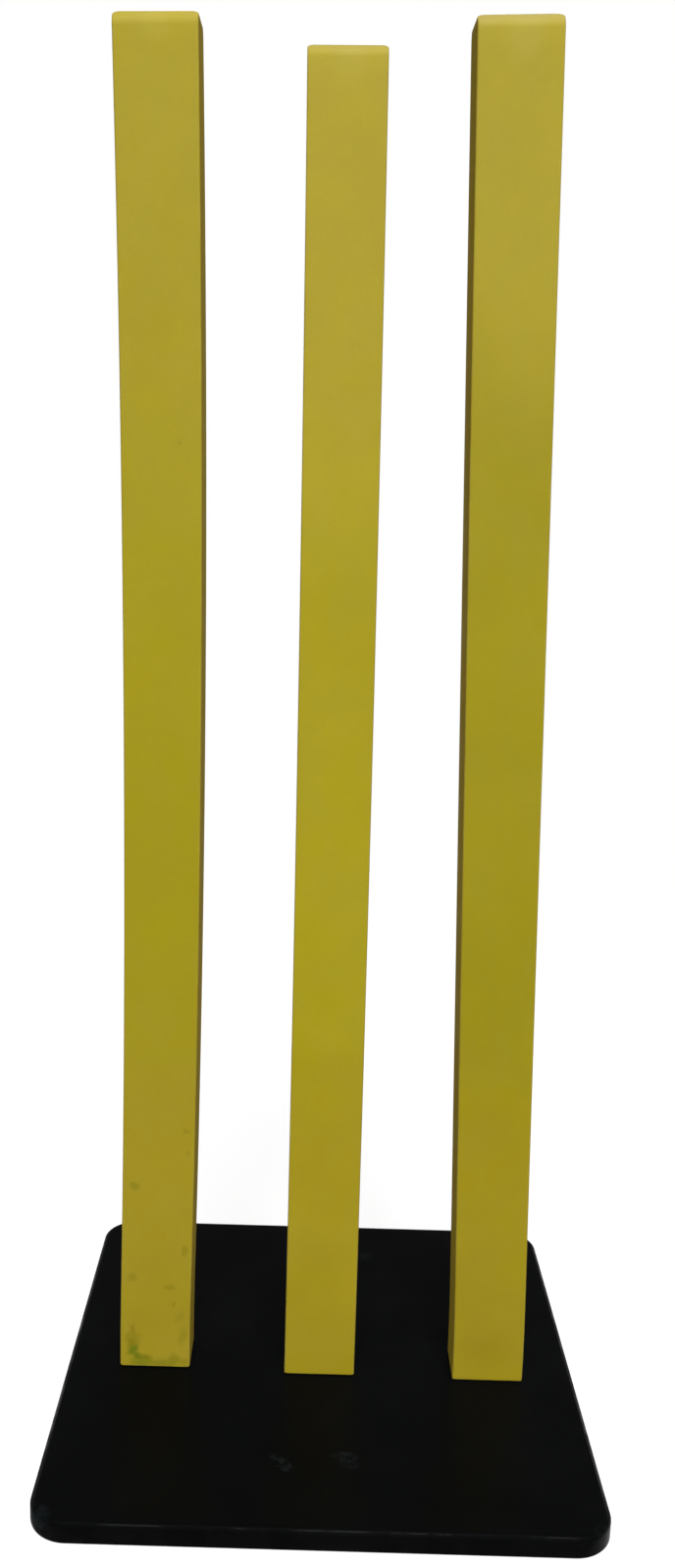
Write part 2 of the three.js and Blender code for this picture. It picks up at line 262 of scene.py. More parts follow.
def tube(skin, ring, low, high, inward=False):
    """A straight wall over one flat ring. Returns the numbers of its low and its high ring."""
    rings = skin.add(np.stack([at_height(ring, low), at_height(ring, high)]))
    skin.wall(rings, inward)
    return rings


# Places from the frame

def middle_of(node):
    """The middle of a solid's box at rest."""
    low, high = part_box(node)
    return (low + high) / 2


def size_of(node):
    """The size of a solid's box at rest."""
    low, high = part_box(node)
    return high - low


SLAB = size_of("rubber_base")
SLAB_TOP = SLAB.z
STUMP_LENGTH = OVERALL_HEIGHT - SLAB_TOP


def foot_place(side):
    """Where a stump is clamped: the middle of its anchor."""
    return np.array(middle_of(side + "_anchor").xy)


def bolt_places(side):
    """Where a stump's two bolts stand, left to right."""
    return [np.array(middle_of(f"{side}_bolt_{k}").xy) for k in (1, 2)]


# Materials

# Numbers of a Mix node's sockets: its share, its two numbers, its two colours and the colour it gives
MIX_SHARE = 0
MIX_NUMBERS = (2, 3)
MIX_COLOURS = (6, 7)
MIXED_COLOUR = 2


class Paint:
    """A material's node tree with short ways to add its nodes."""

    def __init__(self, name):
        self.material = bpy.data.materials.new(name)
        self.material.use_nodes = True
        self.tree = self.material.node_tree
        self.shader = self.tree.nodes["Principled BSDF"]

    def node(self, kind, settings=None, inputs=None):
        """One node. An input is given by name or number, as a value or as another node's output."""
        made = self.tree.nodes.new("ShaderNode" + kind)
        for name, value in (settings or {}).items():
            setattr(made, name, value)
        for key, value in (inputs or {}).items():
            self.feed(made.inputs[key], value)
        return made

    def feed(self, socket, value):
        """Sets an input to a value, or links it to another node's output."""
        if isinstance(value, bpy.types.NodeSocket):
            self.tree.links.new(value, socket)
        else:
            socket.default_value = value

    def noise(self, place, scale, detail=2.0, roughness=0.5):
        """Smooth noise round one half. The scale is how many bumps there are to a metre."""
        inputs = {"Vector": place, "Scale": scale, "Detail": detail, "Roughness": roughness}
        return self.node("TexNoise", inputs=inputs).outputs["Fac"]

    def sums(self, operation, *values):
        """The result of one arithmetic operation."""
        made = self.node("Math", {"operation": operation}, dict(enumerate(values)))
        return made.outputs[0]

    def between(self, value, low, high, out_low=0.0, out_high=1.0):
        """The value's way from low to high, eased in and out and held at both ends."""
        inputs = {"Value": value, "From Min": low, "From Max": high, "To Min": out_low, "To Max": out_high}
        return self.node("MapRange", {"interpolation_type": "SMOOTHSTEP"}, inputs).outputs["Result"]

    def varied(self, noise, low, high):
        """A noise as a number from low to high, held at both past the ends of NOISE_SPREAD."""
        return self.between(noise, *NOISE_SPREAD, low, high)

    def mix(self, share, below, above, blend="MIX"):
        """The colour below, with a share of the colour above laid over it."""
        made = self.node("Mix", {"data_type": "RGBA", "blend_type": blend})
        self.feed(made.inputs[MIX_SHARE], share)
        for socket, colour in zip(MIX_COLOURS, (below, above)):
            self.feed(made.inputs[socket], colour)
        return made.outputs[MIXED_COLOUR]

    def shade(self, colour, value):
        """The colour times a number that varies over the surface."""
        grey = self.node("CombineColor", inputs={"Red": value, "Green": value, "Blue": value})
        return self.mix(1.0, colour, grey.outputs[0], "MULTIPLY")

    def bump(self, height, distance, under=None):
        """A relief of the given depth, laid over the relief under it."""
        inputs = {"Height": height, "Distance": distance, "Strength": 1.0}
        if under is not None:
            inputs["Normal"] = under
        return self.node("Bump", inputs=inputs).outputs["Normal"]

    def blot(self, place, centre, size, turn):
        """How far inside an ellipsoid a place lies: one at its middle and nothing at its edge."""
        settings = {"vector_type": "TEXTURE"}
        inputs = {"Vector": place, "Location": centre, "Rotation": turn, "Scale": size}
        local = self.node("Mapping", settings, inputs).outputs[0]
        far = self.node("VectorMath", {"operation": "LENGTH"}, {0: local}).outputs["Value"]
        return self.sums("SUBTRACT", 1.0, far)


def colour_of(red, green, blue):
    """A linear colour with full alpha."""
    return (red, green, blue, 1.0)


YELLOW = colour_of(0.390, 0.305, 0.0045)
# Pale yellow: painted sheen towards the tops, painted highlights near them, and edges paler from rubbing and
# painted highlight
YELLOW_PALE = colour_of(0.515, 0.435, 0.098)
YELLOW_GREEN = colour_of(0.383, 0.314, 0.0045)
YELLOW_MILKY = colour_of(0.38, 0.30, 0.085)
# Pale bluish colour of the painted highlight on the stumps' rounded tops
YELLOW_HIGHLIGHT = colour_of(0.33, 0.28, 0.25)
YELLOW_DUSTY = colour_of(0.56, 0.395, 0.055)
# Darker, browner colour: painted shade on the stumps' side faces
YELLOW_SIDE_SHADE = colour_of(0.36, 0.256, 0.002)
YELLOW_BROWN = colour_of(0.25, 0.175, 0.006)
GRASS_GREEN = colour_of(0.155, 0.200, 0.004)
OLIVE = colour_of(0.235, 0.210, 0.005)
RUBBER = colour_of(0.0012, 0.0013, 0.0015)
# The slab's top, painted lighter than its sides
RUBBER_LIT_TOP = colour_of(0.0023, 0.0025, 0.0027)
# Rubbed places and scratches on the slab, and painted glints on its front corners
RUBBER_RUBBED_AND_GLINT = colour_of(0.0085, 0.0120, 0.0125)
RUBBER_DUST = colour_of(0.02, 0.02, 0.02)
ZINC = colour_of(0.58, 0.60, 0.62)
ZINC_DULL = colour_of(0.33, 0.34, 0.35)

# Noise in the materials. A SPREAD is the part of a noise over which a colour or the gloss changes, a
# SCALE is its bumps to a metre, and DRAWN is how it is squeezed along each axis. The stumps read theirs
# NOISE_APART metres from each other, so that no two are alike. A speck of dust fades out between the two
# distances of SPECK_REACH, counted in cells from the middle of its own.
NOISE_SPREAD = (0.3, 0.7)
GRAIN_SPREAD = (0.25, 0.75)
MILK_SPREAD = (0.32, 0.68)
EDGE_RUB_AND_HIGHLIGHT_SPREAD = (0.25, 0.7)
BROKEN_SPREAD = (0.33, 0.6)
SCRATCH_SPREAD = (0.68, 0.76)
DUST_SPREAD = (0.48, 0.66)
SPECK_REACH = (0.09, 0.05)
SCUFF_SPREAD = (0.42, 0.58)
ZINC_DULL_SPREAD = (0.42, 0.66)
ZINC_ROUGH_SPREAD = (0.35, 0.7)
NOISE_APART = 3.0
CLOUD_SCALE = 9
BLOTCH_SCALE = 46
GRAIN_SCALE = 900
MILK_SCALE = 58
MILK_DRAWN = (1, 1, 0.55)
RAGGED_SCALE = 170
RUBBER_CLOUD_SCALE = 14
RUBBER_GRAIN_SCALE = 1500
WIPED_SCALE = 60
BROKEN_SCALE = 260
SCRATCH_SCALE = 38
SCRATCH_TURN = 0.5
SCRATCH_DRAWN = (1, 14, 1)
DUST_SCALE = 260
ZINC_BLOOM_SCALE = 240
ZINC_STREAK_SCALE = 700
ZINC_DRAWN = (1, 1, 9)

# Relief: bumps to a metre and depth
STUMP_WAVE = (45, 0.35 * MM)
STUMP_PEEL = (420, 0.035 * MM)
RUBBER_WAVE = (22, 0.25 * MM)
GRAIN_DEPTH = 0.02 * MM
STREAK_DEPTH = 0.01 * MM

# How strongly each finish varies in brightness and roughness, its gloss, and its shares of other colours.
# The slab is rougher below its top edge from the first drop on, fully so from the second. The painted side
# shade starts and is full at two shares of the half width.
CLOUD_TONE = (0.975, 1.025)
BLOTCH_TONE = (0.98, 1.02)
GRAIN_TONE = (0.985, 1.015)
RUBBER_TONE = (0.86, 1.16)
STUMP_ROUGH = (0.56, 0.68)
SIDE_ROUGHER = 0.3
STUMP_GLOSS = 0.2
RUBBER_ROUGH = (0.27, 0.4)
EDGE_ROUGHER = 0.3
EDGE_DROPS = (0.1 * MM, 0.7 * MM)
RUBBER_GLOSS = 0.024
ZINC_ROUGH = (0.26, 0.5)
MILK_SHARE = 0.075
# How much paler the edges get, from rubbing and painted highlight
EDGE_RUB_AND_HIGHLIGHT = (0.08, 0.4)
SCRATCH_SHARE = 0.35
DUST_SHARE = 0.22
ZINC_DULL_SHARE = 0.7
SIDE_START = 0.97
SIDE_FULL = 0.994

# Heights above the slab between which the stumps' colour changes, and how far those wander
MIDDLE_START = (120 * MM, 220 * MM)
MIDDLE_END = (600 * MM, 450 * MM)
# Heights over which the painted sheen pales the stumps towards their tops
SHEEN_HEIGHTS = (400 * MM, 640 * MM)
DUST_FULL = 50 * MM
HEIGHTS_WANDER = 30 * MM

# How each stump is worn and painted: how much painted sheen pales it towards its top, the painted highlight
# (bloom) on its rounded top, how dusty it is near its foot and up to which height, and how bright its middle
# is
WEAR_AND_PAINTED_LIGHT = {
    "left": {"sheen": 0.13, "bloom": 0.09, "dust": 0.2, "dust_top": 0.3, "middle": 1.0},
    "middle": {"sheen": 0.16, "bloom": 0.18, "dust": 0.1, "dust_top": 0.18, "middle": 1.035},
    "right": {"sheen": 0.19, "bloom": 0.25, "dust": 0.12, "dust_top": 0.18, "middle": 0.95},
}

# Marks on the front of the stumps: across, height above the slab, half width and half height in
# millimetres, tilt, colour and strength. The left stump has been stood in wet grass. The first, pale mark of
# each stump, near its top, is a painted highlight.
MARKS = {
    "left": [
        # Painted highlight below the top
        (0.0, 693.0, 11.0, 12.0, 0.0, YELLOW_PALE, 0.12),
        (0.0, 1.0, 26.0, 10.0, 0.0, GRASS_GREEN, 0.16),
        (-12.6, 18.2, 6.0, 6.4, 0.0, OLIVE, 0.5),
        (-7.6, 3.6, 9.6, 5.2, 0.0, GRASS_GREEN, 0.5),
        (-13.9, 14.2, 3.6, 5.4, 0.3, OLIVE, 0.6),
        (-12.6, 11.0, 3.2, 6.0, 0.6, GRASS_GREEN, 0.85),
        (-9.8, 7.6, 4.4, 3.4, 0.6, GRASS_GREEN, 0.85),
        (-5.4, 6.6, 5.6, 2.8, 0.0, OLIVE, 0.75),
        (-13.2, 24.4, 2.2, 4.4, -0.4, YELLOW_BROWN, 0.45),
        (-12.4, 27.5, 1.4, 1.6, 0.0, YELLOW_BROWN, 0.4),
        (15.6, 20.0, 3.4, 10.0, 0.1, OLIVE, 0.32),
        (11.1, 5.6, 5.0, 5.2, 0.4, OLIVE, 0.6),
        (3.5, 2.6, 10.0, 3.0, 0.0, OLIVE, 0.5),
        (16.6, 3.9, 3.2, 4.2, 0.0, YELLOW_BROWN, 0.3),
        (-12.5, 113.2, 4.0, 3.2, 0.4, OLIVE, 0.55),
        (14.6, 147.0, 2.6, 1.6, 0.1, YELLOW_BROWN, 0.4),
        (15.6, 133.9, 1.6, 2.4, 0.0, YELLOW_BROWN, 0.35),
        (-12.9, 56.5, 4.0, 4.4, 0.0, OLIVE, 0.38),
        (15.6, 74.5, 2.2, 5.4, 0.0, OLIVE, 0.45),
        (7.7, 51.1, 4.6, 2.4, 0.0, OLIVE, 0.42),
        (10.3, 41.0, 1.8, 3.4, 0.0, OLIVE, 0.45),
        (13.6, 33.0, 3.4, 7.0, 0.3, OLIVE, 0.22),
        (8.8, 508.9, 1.6, 1.2, 0.0, YELLOW_BROWN, 0.45),
    ],
    "middle": [
        # Painted highlight below the top
        (1.0, 689.0, 11.0, 15.0, 0.3, YELLOW_PALE, 0.12),
        (-4.0, 66.0, 26.0, 30.0, 0.2, YELLOW_BROWN, 0.1),
    ],
    "right": [
        # Painted highlight below the top
        (2.0, 689.0, 12.0, 16.0, 0.3, YELLOW_PALE, 0.17),
        (4.0, 24.0, 26.0, 22.0, 0.3, YELLOW_BROWN, 0.1),
    ],
}

# How deep the marks go, how far noise pushes their outline about, and where they reach full strength
MARK_DEPTH = 7 * MM
MARK_RAGGED = 5 * MM
MARK_SOFT = 0.75

# Rubbed places on the slab: centre and half sizes in millimetres, turn and strength. The last two, on the
# front corners, are rubbed places and painted glints.
SMEARS_AND_GLINTS = (
    ((-19.2, -94.4, 11.5), (8.5, 2.4, 3), -0.8, 0.68),
    ((-18.6, -100.2, 11.5), (5.5, 2.0, 3), -0.4, 0.68),
    ((-23.6, -91.6, 11.5), (3.0, 2.2, 3), -0.5, 0.5),
    ((12.8, -89.6, 11.5), (8.0, 4.6, 3), -0.1, 0.65),
    ((14.8, -95.4, 11.5), (6.0, 3.6, 3), -0.5, 0.45),
    ((29.4, 105, 11.5), (5, 6, 3), 0.0, 0.6),
    # The front corners: rubbed places and painted glints
    ((-137, -137, 9), (8, 8, 6), 0.0, 0.6),
    ((137, -137, 9), (6, 6, 6), 0.0, 0.3),
)
# How far in a rubbed place reaches its full strength, as a share
SMEAR_SOFT = 0.4


def stump_polyurethane(side):
    """Matt moulded polyurethane: cloudy yellow with this stump's marks, painted shade on its side faces,
    painted sheen towards its top, a painted highlight on its rounded top, and edges paler from rubbing and
    painted highlight.

    It reads the moulding's own place, so that the marks stay on the skin when the stump bends.
    """
    paint = Paint(side + "_stump_polyurethane")
    wear_and_painted_light = WEAR_AND_PAINTED_LIGHT[side]
    place = paint.node("Attribute", {"attribute_name": "moulding_place"}).outputs["Vector"]
    edge = paint.node("Attribute", {"attribute_name": "moulding_edge"}).outputs["Fac"]
    shift = (0.0, 0.0, NOISE_APART * list(STUMPS).index(side))
    own = paint.node("VectorMath", {"operation": "ADD"}, {0: place, 1: shift}).outputs[0]

    cloud = paint.noise(own, CLOUD_SCALE)
    blotch = paint.noise(own, BLOTCH_SCALE, 3)
    grain = paint.noise(own, GRAIN_SCALE)
    drawn = paint.node("VectorMath", {"operation": "MULTIPLY"}, {0: own, 1: MILK_DRAWN}).outputs[0]
    milk = paint.noise(drawn, MILK_SCALE, 4, 0.6)
    axes = paint.node("SeparateXYZ", inputs={0: place}).outputs
    level = paint.sums("ADD", axes["Z"], paint.varied(cloud, -HEIGHTS_WANDER, HEIGHTS_WANDER))
    middle = paint.sums("MULTIPLY", paint.between(level, *MIDDLE_START), paint.between(level, *MIDDLE_END))
    tone = paint.varied(cloud, *CLOUD_TONE)
    tone = paint.sums("MULTIPLY", tone, paint.varied(blotch, *BLOTCH_TONE))
    tone = paint.sums("MULTIPLY", tone, paint.between(grain, *GRAIN_SPREAD, *GRAIN_TONE))
    tone = paint.sums("MULTIPLY", tone, paint.between(middle, 0.0, 1.0, 1.0, wear_and_painted_light["middle"]))
    colour = paint.mix(middle, YELLOW, YELLOW_GREEN)
    # Painted sheen: the colour turns paler towards the top
    faded = paint.between(level, *SHEEN_HEIGHTS, 0.0, wear_and_painted_light["sheen"])
    colour = paint.mix(faded, colour, YELLOW_PALE)
    dusty = paint.between(level, wear_and_painted_light["dust_top"], DUST_FULL, 0.0, wear_and_painted_light["dust"])
    colour = paint.mix(dusty, colour, YELLOW_DUSTY)
    milky = paint.between(milk, *MILK_SPREAD, 0.0, MILK_SHARE)
    colour = paint.mix(milky, colour, YELLOW_MILKY)
    half = STUMP_WIDTH / 2
    from_middle = paint.sums("ABSOLUTE", axes["X"])
    # Painted shade: the side faces take a darker, browner colour
    beside = paint.between(from_middle, half * SIDE_START, half * SIDE_FULL)
    colour = paint.mix(beside, colour, YELLOW_SIDE_SHADE)
    colour = paint.shade(colour, tone)

    ragged = {"Vector": own, "Scale": RAGGED_SCALE, "Detail": 3.0}
    push = {0: paint.node("TexNoise", inputs=ragged).outputs["Color"], 1: (MARK_RAGGED,) * 3, 2: place}
    pushed = paint.node("VectorMath", {"operation": "MULTIPLY_ADD"}, push).outputs[0]
    loose = paint.node("VectorMath", {"operation": "SUBTRACT"}, {0: pushed, 1: (MARK_RAGGED / 2,) * 3})
    for across, height, half_width, half_height, tilt, stain, strength in MARKS[side]:
        centre = (across * MM, -STUMP_DEPTH / 2, height * MM)
        size = (half_width * MM, MARK_DEPTH, half_height * MM)
        inside = paint.blot(loose.outputs[0], centre, size, (0, tilt, 0))
        colour = paint.mix(paint.between(inside, 0.0, MARK_SOFT, 0.0, strength), colour, stain)

    rim = STUMP_LENGTH - STUMP_CROWN
    # Painted highlight: a pale bluish colour laid over the rounded top
    bloom = paint.between(axes["Z"], rim - STUMP_TOP_ROUND, rim, 0.0, wear_and_painted_light["bloom"])
    colour = paint.mix(bloom, colour, YELLOW_HIGHLIGHT)
    # Edges paler, partly from rubbing and partly as painted highlight
    rubbed_and_highlight = paint.sums("MULTIPLY", edge, paint.between(blotch, *EDGE_RUB_AND_HIGHLIGHT_SPREAD, *EDGE_RUB_AND_HIGHLIGHT))
    colour = paint.mix(rubbed_and_highlight, colour, YELLOW_PALE)
    paint.feed(paint.shader.inputs["Base Color"], colour)
    rougher = paint.sums("MULTIPLY", beside, SIDE_ROUGHER)
    rough = paint.sums("ADD", paint.varied(blotch, *STUMP_ROUGH), rougher)
    paint.feed(paint.shader.inputs["Roughness"], rough)
    paint.shader.inputs["Specular IOR Level"].default_value = STUMP_GLOSS

    wave = paint.bump(paint.noise(own, STUMP_WAVE[0]), STUMP_WAVE[1])
    peel = paint.bump(paint.noise(own, STUMP_PEEL[0]), STUMP_PEEL[1], wave)
    paint.feed(paint.shader.inputs["Normal"], paint.bump(grain, GRAIN_DEPTH, peel))
    return paint.material


def slab_rubber():
    """Black rubber with a low shine: nearly black with its top painted lighter than its sides, a few rubbed
    places, painted glints on its front corners, dust and fine scratches.
    """
    paint = Paint("slab_rubber")
    place = paint.node("TexCoord").outputs["Object"]
    cloud = paint.noise(place, RUBBER_CLOUD_SCALE, 3)
    grain = paint.noise(place, RUBBER_GRAIN_SCALE)
    level = paint.node("SeparateXYZ", inputs={0: place}).outputs["Z"]
    # Painted light: the top is lighter than the sides
    painted_lit_top = paint.between(level, SLAB_TOP - SLAB_TOP_ROUND, SLAB_TOP)
    colour = paint.shade(paint.mix(painted_lit_top, RUBBER, RUBBER_LIT_TOP), paint.varied(cloud, *RUBBER_TONE))

    wiped = paint.noise(place, WIPED_SCALE, 4)
    broken = paint.between(paint.noise(place, BROKEN_SCALE, 3), *BROKEN_SPREAD)
    for centre, size, turn, strength in SMEARS_AND_GLINTS:
        inside = paint.blot(place, Vector(centre) * MM, Vector(size) * MM, (0, 0, turn))
        patchy = paint.sums("MULTIPLY", paint.between(inside, 0.0, SMEAR_SOFT), broken)
        colour = paint.mix(paint.sums("MULTIPLY", patchy, strength), colour, RUBBER_RUBBED_AND_GLINT)

    stretch = {"Vector": place, "Rotation": (0, 0, SCRATCH_TURN), "Scale": SCRATCH_DRAWN}
    streaks = paint.noise(paint.node("Mapping", inputs=stretch).outputs[0], SCRATCH_SCALE, 5, 0.62)
    colour = paint.mix(paint.between(streaks, *SCRATCH_SPREAD, 0.0, SCRATCH_SHARE), colour, RUBBER_RUBBED_AND_GLINT)
    speck = paint.node("TexVoronoi", inputs={"Vector": place, "Scale": DUST_SCALE}).outputs["Distance"]
    settled = paint.between(cloud, *DUST_SPREAD, 0.0, DUST_SHARE)
    dust = paint.sums("MULTIPLY", paint.between(speck, *SPECK_REACH), settled)
    colour = paint.mix(dust, colour, RUBBER_DUST)
    paint.feed(paint.shader.inputs["Base Color"], colour)
    below_top = paint.between(level, *(SLAB_TOP - drop for drop in EDGE_DROPS))
    scuffed = paint.sums("MULTIPLY", below_top, paint.between(wiped, *SCUFF_SPREAD, 0.0, EDGE_ROUGHER))
    rough = paint.sums("ADD", paint.varied(wiped, *RUBBER_ROUGH), scuffed)
    paint.feed(paint.shader.inputs["Roughness"], rough)
    paint.shader.inputs["Specular IOR Level"].default_value = RUBBER_GLOSS

    wave = paint.bump(paint.noise(place, RUBBER_WAVE[0]), RUBBER_WAVE[1])
    paint.feed(paint.shader.inputs["Normal"], paint.bump(grain, GRAIN_DEPTH, wave))
    return paint.material


def zinc_plate():
    """Zinc plating: bright steel under a thin dull bloom, with fine drawn streaks."""
    paint = Paint("zinc_plate")
    place = paint.node("TexCoord").outputs["Object"]
    bloom = paint.noise(place, ZINC_BLOOM_SCALE, 4, 0.6)
    drawn = paint.node("Mapping", inputs={"Vector": place, "Scale": ZINC_DRAWN}).outputs[0]
    streak = paint.noise(drawn, ZINC_STREAK_SCALE)
    colour = paint.mix(paint.between(bloom, *ZINC_DULL_SPREAD, 0.0, ZINC_DULL_SHARE), ZINC, ZINC_DULL)
    paint.feed(paint.shader.inputs["Base Color"], colour)
    paint.shader.inputs["Metallic"].default_value = 1.0
    paint.feed(paint.shader.inputs["Roughness"], paint.between(bloom, *ZINC_ROUGH_SPREAD, *ZINC_ROUGH))
    paint.feed(paint.shader.inputs["Normal"], paint.bump(streak, STREAK_DEPTH))
    return paint.material


# Stump mouldings

def centre_line(side, height):
    """Points and directions of a stump's centre line at heights h above the slab, as two arrays.

    The run is h squared over twice the foot's height within the foot, and h less half the foot's
    height above it. The line moves by the tangent of each lean times the run, and sideways also by
    the bow times 4s(1 - s), where s is the run's share of the full run.
    """
    stump = STUMPS[side]
    run = np.where(height < FOOT_HEIGHT, height**2 / (2 * FOOT_HEIGHT), height - FOOT_HEIGHT / 2)
    slope = np.minimum(height / FOOT_HEIGHT, 1)
    full = STUMP_LENGTH - FOOT_HEIGHT / 2
    share = run / full
    sideways = math.tan(math.radians(stump["side_lean"]))
    back = math.tan(math.radians(stump["depth_lean"]))
    x = sideways * run + 4 * stump["bow"] * share * (1 - share)
    x_slope = slope * (sideways + 4 * stump["bow"] * (1 - 2 * share) / full)
    foot = foot_place(side)
    points = np.column_stack([foot[0] + x, foot[1] + back * run, SLAB_TOP + height])
    directions = np.column_stack([x_slope, slope * back, np.ones_like(height)])
    return points, directions / np.linalg.norm(directions, axis=1)[:, None]


def carried_section(side, height, side_inset, depth_inset, share):
    """The section carried along the centre line, as an array (rings, points, 3).

    At each height the rounded rectangle, drawn in by both insets and shrunk to the share, lies square
    to the line: centre + x times the across direction + y times the back direction.
    """
    points, along = centre_line(side, height)
    across = np.array([1.0, 0, 0]) - along[:, :1] * along
    across /= np.linalg.norm(across, axis=1)[:, None]
    back = np.cross(along, across)
    width, depth = STUMP_WIDTH - 2 * side_inset, STUMP_DEPTH - 2 * depth_inset
    flat = rounded_rings(width, depth, STUMP_EDGE_RADIUS + side_inset)
    flat = flat * share[:, None, None]
    carried = flat[..., :1] * across[:, None] + flat[..., 1:] * back[:, None]
    return points[:, None] + carried, flat


def inset_at(radius, drop):
    """How far a round has drawn in at a drop below its rim.

    That is r less the root of r squared less rise squared, where the rise is r less the drop.
    """
    rise = np.maximum(radius - drop, 0)
    return radius - np.sqrt(radius**2 - rise**2)


def stump_rows():
    """Height above the slab, side inset, depth inset and share of every ring from foot to crown.

    The foot and the top follow quarter rounds. The crown lies below the stump's full length by its own
    height times the share squared.
    """
    inset, rise = quarter_round(FOOT_ROUND)
    low = np.stack([SEAT_GAP + FOOT_ROUND - rise[::-1], inset[::-1], inset[::-1], np.ones_like(inset)])
    shoulder = STUMP_LENGTH - STUMP_TOP_ROUND - STUMP_CROWN
    foot = np.arange(SEAT_GAP + FOOT_ROUND + FOOT_ROW, FOOT_HEIGHT, FOOT_ROW)
    body = np.linspace(FOOT_HEIGHT, shoulder, int((shoulder - FOOT_HEIGHT) / BODY_ROW))[:-1]
    straight = np.concatenate([foot, body])
    plain = np.stack([straight, np.zeros_like(straight), np.zeros_like(straight), np.ones_like(straight)])
    drops = [radius - quarter_round(radius)[1] for radius in (STUMP_TOP_ROUND, STUMP_TOP_SIDE_ROUND)]
    drop = np.unique(np.concatenate(drops))[::-1]
    insets = [inset_at(radius, drop) for radius in (STUMP_TOP_SIDE_ROUND, STUMP_TOP_ROUND)]
    edge = np.stack([STUMP_LENGTH - STUMP_CROWN - drop, *insets, np.ones_like(drop)])
    crown_height = STUMP_LENGTH - STUMP_CROWN * CROWN_SHARES**2
    rims = [np.full_like(crown_height, radius) for radius in (STUMP_TOP_SIDE_ROUND, STUMP_TOP_ROUND)]
    crown = np.stack([crown_height, *rims, CROWN_SHARES])
    return np.concatenate([low, plain, edge, crown], axis=1)


def anchor_pocket(skin, side, outer):
    """The hollow under the foot that its anchor fills, closed against the foot's lowest ring.

    Its walls are the anchor's outlines, moved off the steel by the seat gap and carried straight up.
    """
    foot = foot_place(side)
    held = size_of(side + "_anchor")
    low = SLAB_TOP + SEAT_GAP
    roof = low + ANCHOR_THICKNESS + SEAT_GAP
    boss_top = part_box(side + "_anchor")[1].z + SEAT_GAP
    width, depth = held.x + 2 * SEAT_GAP, held.y + 2 * SEAT_GAP
    plate = rounded_rings(width, depth, ANCHOR_CORNER_RADIUS + SEAT_GAP)[0] + foot
    mouth, top = tube(skin, plate, low, roof, inward=True)
    skin.flat(outer, [mouth], up=False)
    openings = []
    for centre in bolt_places(side):
        boss_low, boss_high = tube(skin, circle(centre, BOSS_RADIUS + SEAT_GAP), roof, boss_top, inward=True)
        skin.flat(boss_high, up=False)
        openings.append(boss_low)
    for reach in (-KEY_HOLE_REACH, KEY_HOLE_REACH):
        peg_low, peg_high = tube(skin, circle(foot + (0, reach), KEY_HOLE_RADIUS - SEAT_GAP), low, roof)
        skin.flat(peg_low, up=False)
        openings.append(peg_high)
    skin.flat(top, openings, up=False)


def note_moulding(piece, side, rings, flat, height):
    """Keeps on each point its place in the straight moulding and how much its edge is paler, from rubbing and
    painted highlight.

    That is the squared sine of an angle that goes through half a turn along an upright corner's arc, or
    the sine of one that does so up the foot's round, whichever is more. On the crown it is nothing.
    """
    count = len(piece.data.vertices)
    place = np.empty((count, 3), np.float32)
    piece.data.vertices.foreach_get("co", place.ravel())
    place = place - (*foot_place(side), SLAB_TOP)
    place[rings.ravel(), :2] = flat.reshape(-1, 2)
    place[rings.ravel(), 2] = np.repeat(height, flat.shape[1])
    noted = piece.data.attributes.new("moulding_place", "FLOAT_VECTOR", "POINT")
    noted.data.foreach_set("vector", place.astype(np.float32).ravel())
    arc = np.zeros((4, CORNER_STEPS + 1 + len(SIDE_SHARES)))
    arc[:, : CORNER_STEPS + 1] = np.sin(np.linspace(0, math.pi, CORNER_STEPS + 1)) ** 2
    around = np.tile(arc.ravel(), (len(rings), 1))
    foot_round = np.sin(np.arange(ROUND_STEPS) * math.pi / ROUND_STEPS)
    around[:ROUND_STEPS] = np.maximum(around[:ROUND_STEPS], foot_round[:, None])
    around[height >= STUMP_LENGTH - STUMP_CROWN] = 0
    edge = np.zeros(count)
    edge[rings.ravel()] = around.ravel()
    noted = piece.data.attributes.new("moulding_edge", "FLOAT", "POINT")
    noted.data.foreach_set("value", edge.astype(np.float32))


def stump_moulding(side):
    """One stump from its foot to its crown, which bends where the solid model has its foot."""
    height, side_inset, depth_inset, share = stump_rows()
    skin = Skin()
    points, flat = carried_section(side, height, side_inset, depth_inset, share)
    rings = skin.add(points)
    skin.wall(rings)
    top, _ = centre_line(side, np.array([STUMP_LENGTH]))
    skin.pole(rings[-1], top[0])
    anchor_pocket(skin, side, rings[0])
    piece = skin.piece(side + "_moulding", stump_polyurethane(side))
    note_moulding(piece, side, rings, flat, height)
    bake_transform(piece)
    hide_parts(side + "_stump", side + "_stump_foot")


# Steel in the feet and beneath the slab

def steel_piece(skin, name, node, plating):
    """The finished piece, which stands for its solid and stays with the slab."""
    piece = skin.piece(name, plating)
    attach(piece, "base")
    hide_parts(node)


def thread(low, high):
    """Heights and radii of a right-hand thread, the radii as an array (rows, steps round).

    The count of turns is the height over the pitch less the angle over a whole turn, and f is its
    fraction. The fall is the flank's gain times (1 - |2f - 1|), less the crest's share, held between 0
    and 1. The radius is the bolt's less the depth times the fall, which runs out over one pitch at
    both ends.
    """
    height = np.linspace(low, high, round((high - low) / THREAD_PITCH * ROWS_TO_A_PITCH) + 1)
    turns = height[:, None] / THREAD_PITCH - np.arange(CIRCLE_STEPS) / CIRCLE_STEPS
    fall = THREAD_FLANK_GAIN * (1 - np.abs(2 * (turns % 1) - 1)) - THREAD_CREST_SHARE
    run_out = np.clip(np.minimum(height - low, high - height) / THREAD_PITCH, 0, 1)
    return height, BOLT_RADIUS - THREAD_DEPTH * np.clip(fall, 0, 1) * run_out[:, None]


